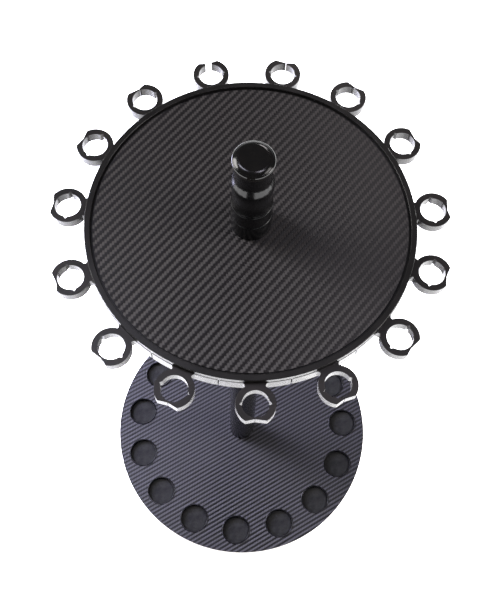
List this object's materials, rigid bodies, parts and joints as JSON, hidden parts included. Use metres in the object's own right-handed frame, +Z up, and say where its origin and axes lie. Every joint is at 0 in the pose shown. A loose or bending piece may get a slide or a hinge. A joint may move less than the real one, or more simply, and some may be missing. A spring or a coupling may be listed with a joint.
{
  "type": "cue carousel rack",
  "caption": "Free-standing round carousel rack for cues: felt-floored wells in a turning base, a pole, and snap clips round a rimmed top disc with a turned carry handle.",
  "frame": {"origin": "on the floor, on the axis of the pole", "axes": "+Z up along the pole; -Y towards the clip that faces the viewer"},
  "size_m": [0.3627, 0.3628, 0.798],
  "materials": {
    "foot_rubber": "matte",
    "foot_board_black": "matte paint",
    "screw_steel": "zinc plated",
    "race_aluminium": "turned",
    "ball_steel": "polished",
    "cage_nylon": "moulded",
    "board_fibre": "sawn board",
    "base_carbon_film": "embossed twill film",
    "top_carbon_film": "embossed twill film",
    "edge_band_black": "glossy",
    "cup_black": "glossy moulded",
    "pad_felt": "needle felt",
    "pole_black": "gloss enamel",
    "plug_aluminium": "turned",
    "rim_black": "satin moulded",
    "clip_black": "satin moulded",
    "insert_brass": "turned",
    "handle_black": "polished",
    "cap_black": "polished"
  },
  "bodies": {
    "stand": {"rubber_feet": "foot_rubber", "foot_screws": "screw_steel", "foot_plate": "foot_board_black", "outer_race": "race_aluminium", "outer_race_screws": "screw_steel"},
    "ball_set": {"bearing_balls": "ball_steel", "ball_cage": "cage_nylon"},
    "carousel": {"inner_race": "race_aluminium", "inner_race_screws": "screw_steel", "base_board": "board_fibre", "well_board": "board_fibre", "base_film": "base_carbon_film", "base_edge_band": "edge_band_black", "felt_pads": "pad_felt", "pole_washer": "screw_steel", "pole_bolt": "screw_steel", "lower_plug": "plug_aluminium", "pole_tube": "pole_black", "upper_plug": "plug_aluminium", "spreader_plate": "pole_black", "spreader_screws": "screw_steel", "top_board": "foot_board_black", "top_film": "top_carbon_film", "rim_ring": "rim_black", "clip_screws": "screw_steel", "tie_stud": "screw_steel", "handle_insert": "insert_brass", "handle_foot": "handle_black", "handle_grip": "handle_black", "handle_cap": "cap_black", "well_cup_01": "cup_black", "well_cup_02": "cup_black", "well_cup_03": "cup_black", "well_cup_04": "cup_black", "well_cup_05": "cup_black", "well_cup_06": "cup_black", "well_cup_07": "cup_black", "well_cup_08": "cup_black", "well_cup_09": "cup_black", "well_cup_10": "cup_black", "well_cup_11": "cup_black", "well_cup_12": "cup_black", "well_cup_13": "cup_black", "well_cup_14": "cup_black", "well_cup_15": "cup_black", "snap_clip_01": "clip_black", "snap_clip_02": "clip_black", "snap_clip_03": "clip_black", "snap_clip_04": "clip_black", "snap_clip_05": "clip_black", "snap_clip_06": "clip_black", "snap_clip_07": "clip_black", "snap_clip_08": "clip_black", "snap_clip_09": "clip_black", "snap_clip_10": "clip_black", "snap_clip_11": "clip_black", "snap_clip_12": "clip_black", "snap_clip_13": "clip_black", "snap_clip_14": "clip_black", "snap_clip_15": "clip_black"}
  },
  "joints": [
    {"name": "carousel_spin", "type": "hinge", "parent": "stand", "child": "carousel", "pos_m": [0, 0, 0.018], "axis": [0, 0, 1], "continuous": true},
    {"name": "ball_set_spin", "type": "hinge", "parent": "stand", "child": "ball_set", "pos_m": [0, 0, 0.018], "axis": [0, 0, 1], "continuous": true}
  ],
  "couplings": [
    {"joint": "ball_set_spin", "follows": "carousel_spin", "ratio": 0.4788}
  ]
}
